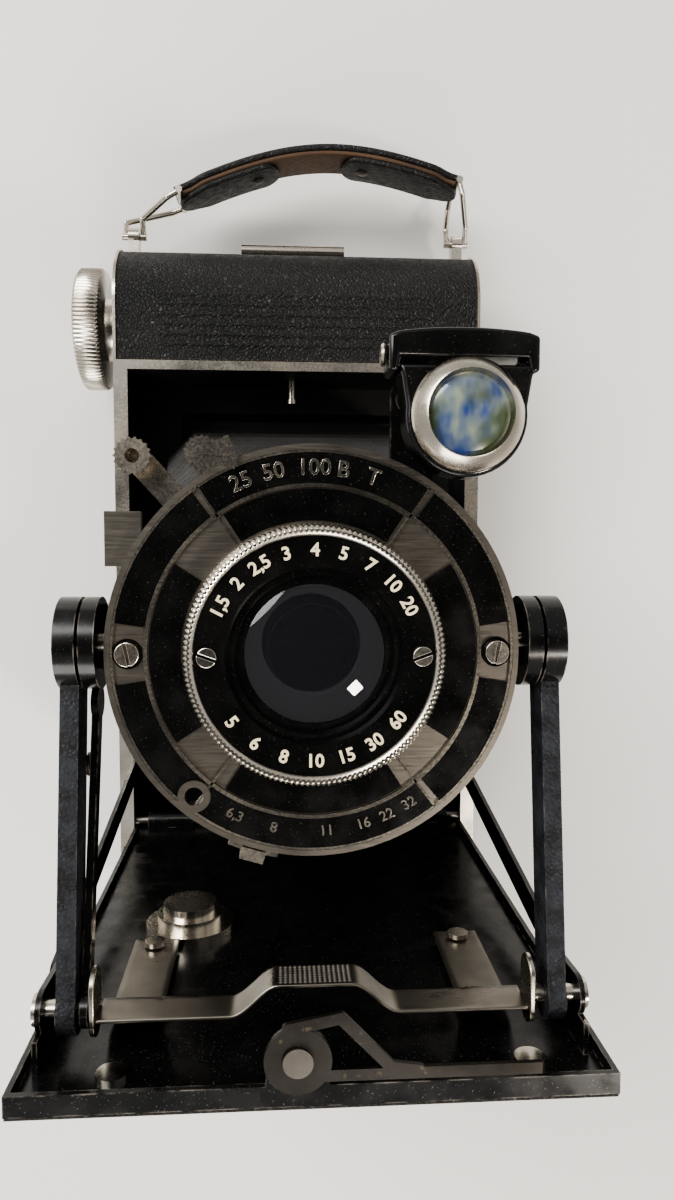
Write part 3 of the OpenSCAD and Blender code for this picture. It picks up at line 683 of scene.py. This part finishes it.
def build_end_leather():
    """Leather over the upper end, embossed with a plain panel of ribs."""
    low, high = mm_box("end_leather_top")
    rows = rows_fine(end_profile(0.0))
    normals = profile_normals(rows)
    columns = 120
    panel_half = 31
    ribs = [3.4 + 2.15 * i for i in range(6)]
    rib_height = 0.34
    face_inset = 0.36
    skin = 0.58
    outer, inner = [], []
    for (y, z, along), (ny, nz) in zip(rows, normals):
        ridge = max(math.exp(-((along - at) / 0.5) ** 2) for at in ribs) * rib_height
        for c in range(columns + 1):
            x = low[0] + (high[0] - low[0]) * c / columns
            fade = min(1.0, max(0.0, (panel_half - abs(x)) / 1.2))
            lift = ridge * fade - face_inset
            outer.append((x, y + ny * lift, z + nz * lift))
            inner.append((x, y - ny * skin, z - nz * skin))
    verts = outer + inner
    top = len(outer)
    per = columns + 1
    last = (len(rows) - 1) * per
    faces = []
    for r in range(len(rows) - 1):
        for c in range(columns):
            a, b = r * per + c, r * per + c + 1
            faces.append((a, b, b + per, a + per))
            faces.append((top + a, top + a + per, top + b + per, top + b))
        for c in (0, columns):
            a = r * per + c
            faces.append((a, a + per, top + a + per, top + a))
    for c in range(columns):
        faces.append((c, top + c, top + c + 1, c + 1))
        faces.append((last + c, last + c + 1, top + last + c + 1, top + last + c))
    piece("end_leather_embossed", verts, faces, "body", "leather", ("end_leather_top",), 60)


def rows_fine(rows, split=4):
    """The profile with each step split, so that embossing has rows to stand on."""
    fine = []
    for a, b in zip(rows, rows[1:]):
        fine += [tuple(p + (q - p) * i / split for p, q in zip(a, b)) for i in range(split)]
    return fine + [rows[-1]]


def profile_normals(rows):
    normals = []
    for i in range(len(rows)):
        a, b = rows[max(0, i - 1)], rows[min(len(rows) - 1, i + 1)]
        dy, dz = b[0] - a[0], b[1] - a[1]
        length = math.hypot(dy, dz)
        normals.append((-dz / length, dy / length))
    return normals


# ---------- handle ----------

STRAP_LEFT = -27
STRAP_RUN = 64.6
STRAP_RISE = 4
STRAP_ARCH = 7.6
STRAP_Z = 15


def strap_point(t):
    """Middle of the strap in mm, and its slope, as its CAD outline has it."""
    x = STRAP_LEFT + STRAP_RUN * t
    y = 93.2 + STRAP_RISE * t + STRAP_ARCH * math.sin(math.pi * t)
    dy = (STRAP_RISE + STRAP_ARCH * math.pi * math.cos(math.pi * t)) / STRAP_RUN
    return x, y, math.atan(dy)


def strip(name, t0, t1, thick, lift, half, material, replaces=(), tip=0.0):
    """Leather ply along the strap between two stations, with round edges."""
    steps = 48
    section = []
    corner = min(thick * 0.45, 0.8)
    for side_y, side_z in ((1, 1), (1, -1), (-1, -1), (-1, 1)):
        for i in range(4):
            a = math.pi / 2 * i / 3
            rise, reach = (math.sin(a), math.cos(a)) if side_y * side_z > 0 else (math.cos(a), math.sin(a))
            section.append((side_y * (thick / 2 - corner + corner * rise), corner * (1 - reach), side_z))
    verts = []
    for i in range(steps + 1):
        t = t0 + (t1 - t0) * i / steps
        x, y, slope = strap_point(t)
        nx, ny = -math.sin(slope), math.cos(slope)
        edge = 1.0
        if tip:
            near = min(i, steps - i) / steps * abs(t1 - t0) * STRAP_RUN
            if near < tip:
                edge = math.sqrt(max(0.02, 1 - (1 - near / tip) ** 2))
        from_end = min(x - STRAP_LEFT, STRAP_LEFT + STRAP_RUN - x)
        inset = 1.35 * min(1.0, max(0.0, 2 - from_end / 2.75))
        width = (half - inset) * edge
        for off, cut, sz in section:
            z = STRAP_Z + sz * (width - cut)
            verts.append((x + nx * (off + lift), y + ny * (off + lift), z))
    n = len(section)
    faces = []
    for i in range(steps):
        for k in range(n):
            m = (k + 1) % n
            faces.append((i * n + k, i * n + m, (i + 1) * n + m, (i + 1) * n + k))
    faces.append(tuple(range(n)))
    faces.append(tuple(steps * n + k for k in range(n - 1, -1, -1)))
    return piece(name, verts, faces, "handle", material, replaces, 40)


def build_handle():
    """Handle: a long outer ply with its two ends folded back under it, edges brown, rivets in the flaps."""
    strip("strap_outer", -0.012, 1.012, 1.5, 1.0, 5.9, "strap_leather", ("handle_strap",))
    strip("strap_core", 0.0, 1.0, 1.0, -0.2, 5.6, "strap_edge")
    strip("strap_flap_left", -0.01, 0.35, 1.3, -1.35, 5.8, "strap_leather", (), 4.0)
    strip("strap_flap_right", 0.58, 1.01, 1.3, -1.35, 5.8, "strap_leather", (), 4.0)
    parts = []
    for t in (0.27, 0.66):
        x, y, slope = strap_point(t)
        profile = [(0.0001, -2.0), (1.3, -2.0), (1.3, -2.25), (0.9, -2.5), (0.0001, -2.6)]
        v, f = lathe(profile, 32)
        v = [(x + a * math.cos(slope) - h * math.sin(slope), y + a * math.sin(slope) + h * math.cos(slope),
              STRAP_Z + b) for a, b, h in v]
        parts.append((v, f))
    verts, faces = joined(parts)
    piece("strap_rivets", verts, faces, "handle", "worn_steel", (), 40)


# ---------- finder ----------

def finder_outline(cx, cy, top):
    """Housing seen from the front: round below, straight sides that widen to the hood."""
    r = 7.8
    points = [(cx + 8.8, top - 4.5), (cx + 8.3, top - 6)]
    for i in range(25):
        a = math.radians(8 - 196 * i / 24)
        points.append((cx + r * math.cos(a), cy + r * math.sin(a)))
    return points + [(cx - 8.3, top - 6), (cx - 8.8, top - 4.5)]


def build_finder():
    """Finder: a tapering housing under a hood with down-turned ends, a cone ring and a domed glass."""
    low, high = mm_box("finder_housing")
    glass_low, glass_high = mm_box("finder_glass")
    cx = (glass_low[0] + glass_high[0]) / 2
    cy = (glass_low[1] + glass_high[1]) / 2
    back, top = low[2], high[1]
    front = high[2] - 2.7
    verts, faces = slab(finder_outline(cx, cy, top), back, front)
    body = piece("finder_body", verts, faces, "finder", "black_enamel",
                 ("finder_housing",), 40)
    bevel(body, 0.5)
    left, right = low[0], high[0]
    crown = [(right - (right - left) * i / 14, top - 1.0 + 1.0 * math.sin(math.pi * i / 14) ** 0.5)
             for i in range(15)]
    points = [(left, top - 5.4), (left + 1.1, top - 5.6), (left + 1.4, top - 3.6), (right - 1.4, top - 3.6),
              (right - 1.1, top - 5.6), (right, top - 5.4)]
    verts, faces = slab(points + crown, back, front + 0.4)
    bevel(piece("finder_hood", verts, faces, "finder", "black_enamel", (), 40), 0.45)
    r = 7.2
    profile = [(5.1, front - 0.2), (r, front), (r, front + 0.5), (r - 0.25, front + 0.8),
               (r - 1.5, front + 2.5), (r - 1.75, front + 2.6), (5.1, front + 1.6)]
    verts, faces = lathe(profile, 96)
    piece("finder_ring", moved(verts, cx, cy), faces, "finder", "nickel", (), 50)
    dome = [(5.2 * i / 10, front + 2.2 - 0.9 * (i / 10) ** 2) for i in range(1, 11)]
    verts, faces = lathe([(0.0001, front + 2.2)] + dome + [(5.2, front + 0.1), (0.0001, front + 0.1)], 64)
    piece("finder_lens", moved(verts, cx, cy), faces, "finder", "finder_glass",
          ("finder_glass",), 40)
    verts, faces = lathe([(0.0001, 0), (1.3, 0.1), (1.5, 0.4), (1.3, 0.7), (0.0001, 0.8)], 32)
    verts = [(left - 0.05 - h, top - 3.0 + a, front - 3 + b) for a, b, h in verts]
    piece("finder_side_screw", verts, faces, "finder", "nickel", (), 40)


# ---------- lens barrel ----------

def build_barrel():
    """Stepped black rings behind the front lens, with the thin bright rim of the rear element."""
    low, _ = mm_box("lens_glass")
    z = low[2] - 0.15
    profile = [(8.6, z), (7.0, z), (7.0, z - 0.8), (5.6, z - 0.8), (5.6, z - 1.6), (4.4, z - 1.6),
               (4.4, z - 2.4), (8.6, z - 2.4)]
    verts, faces = lathe(profile, 96)
    piece("lens_barrel_steps", verts, faces, "standard", "lens_barrel", (), 30)
    verts, faces = lathe([(5.55, z - 0.75), (5.3, z - 0.75), (5.3, z - 0.95), (5.55, z - 0.95)], 96)
    piece("lens_barrel_rim", verts, faces, "standard", "worn_steel", (), 30)


# ---------- stage ----------

def build_stage():
    floor_z = cad_bounds[0][2]
    mesh = bpy.data.meshes.new("floor")
    corners = [(-2, -2, floor_z), (2, -2, floor_z), (2, 2, floor_z), (-2, 2, floor_z)]
    mesh.from_pydata(corners, [], [(0, 1, 2, 3)])
    floor = bpy.data.objects.new("floor", mesh)
    bpy.context.scene.collection.objects.link(floor)
    m = Nodes("floor_paper")
    m.set(Base_Color=m.mix(m.noise(9, 4), (0.80, 0.78, 0.74, 1), (0.85, 0.84, 0.81, 1)), Roughness=0.8)
    mesh.materials.append(m.material)


def build_shade():
    """Dark card above the camera, where the phone and its holder stood; only reflections see it."""
    radius = 0.13
    height = 0.34
    sides = 64
    rim = [(radius * math.cos(TAU * i / sides), radius * math.sin(TAU * i / sides), height)
           for i in range(sides)]
    mesh = bpy.data.meshes.new("shade_card")
    mesh.from_pydata(rim, [], [tuple(range(sides))])
    card = bpy.data.objects.new("shade_card", mesh)
    bpy.context.scene.collection.objects.link(card)
    mesh.materials.append(MATERIALS["lens_barrel"])
    card.visible_camera = False
    card.visible_shadow = False
    card.visible_diffuse = False


def add_light(name, place, aim, size, power, colour):
    light = bpy.data.lights.new(name, "AREA")
    light.shape = "RECTANGLE"
    light.size, light.size_y = size
    light.energy = power
    light.color = colour
    obj = bpy.data.objects.new(name, light)
    obj.location = place
    bpy.context.scene.collection.objects.link(obj)
    direction = [end - start for start, end in zip(place, aim)]
    obj.rotation_euler = Vector(direction).to_track_quat("-Z", "Y").to_euler()


def build_light():
    middle = (0, 0, 0.06)
    add_light("window", (-0.55, 0.55, 0.75), middle, (0.7, 0.7), 13, (1.0, 0.99, 0.97))
    add_light("lamp", (0.28, -0.30, 0.62), middle, (0.08, 0.08), 1.8, (1.0, 0.92, 0.82))
    add_light("front", (-0.15, -0.75, 0.5), middle, (0.6, 0.4), 4.5, (1.0, 0.97, 0.93))
    world = bpy.data.worlds.new("studio")
    world.use_nodes = True
    world.node_tree.nodes["Background"].inputs[0].default_value = (0.86, 0.85, 0.84, 1)
    world.node_tree.nodes["Background"].inputs[1].default_value = 0.6
    bpy.context.scene.world = world
    bpy.context.scene.view_settings.look = "AgX - Medium High Contrast"


def build_camera():
    """Looks down on the lens from about 0.23 m, tilted a little, as a phone held over the camera."""
    data = bpy.data.cameras.new("camera")
    data.sensor_width = 36
    data.lens = 26.26
    data.clip_start = 0.01
    camera = bpy.data.objects.new("camera", data)
    camera.location = (-0.0045, 0.0152, 0.2286)
    camera.rotation_euler = (-0.0756, -0.0664, 0.0025)
    bpy.context.scene.collection.objects.link(camera)
    bpy.context.scene.camera = camera


build_camera()
build_stage()
build_shade()
build_light()
dress_cad_nodes()
soften_cad_edges()
build_bellows()
build_focus_ring()
build_knob()
build_release_bar()
build_pad_knurl()
build_figures()
build_dividers()
build_screws()
build_end_leather()
build_handle()
build_finder()
build_barrel()
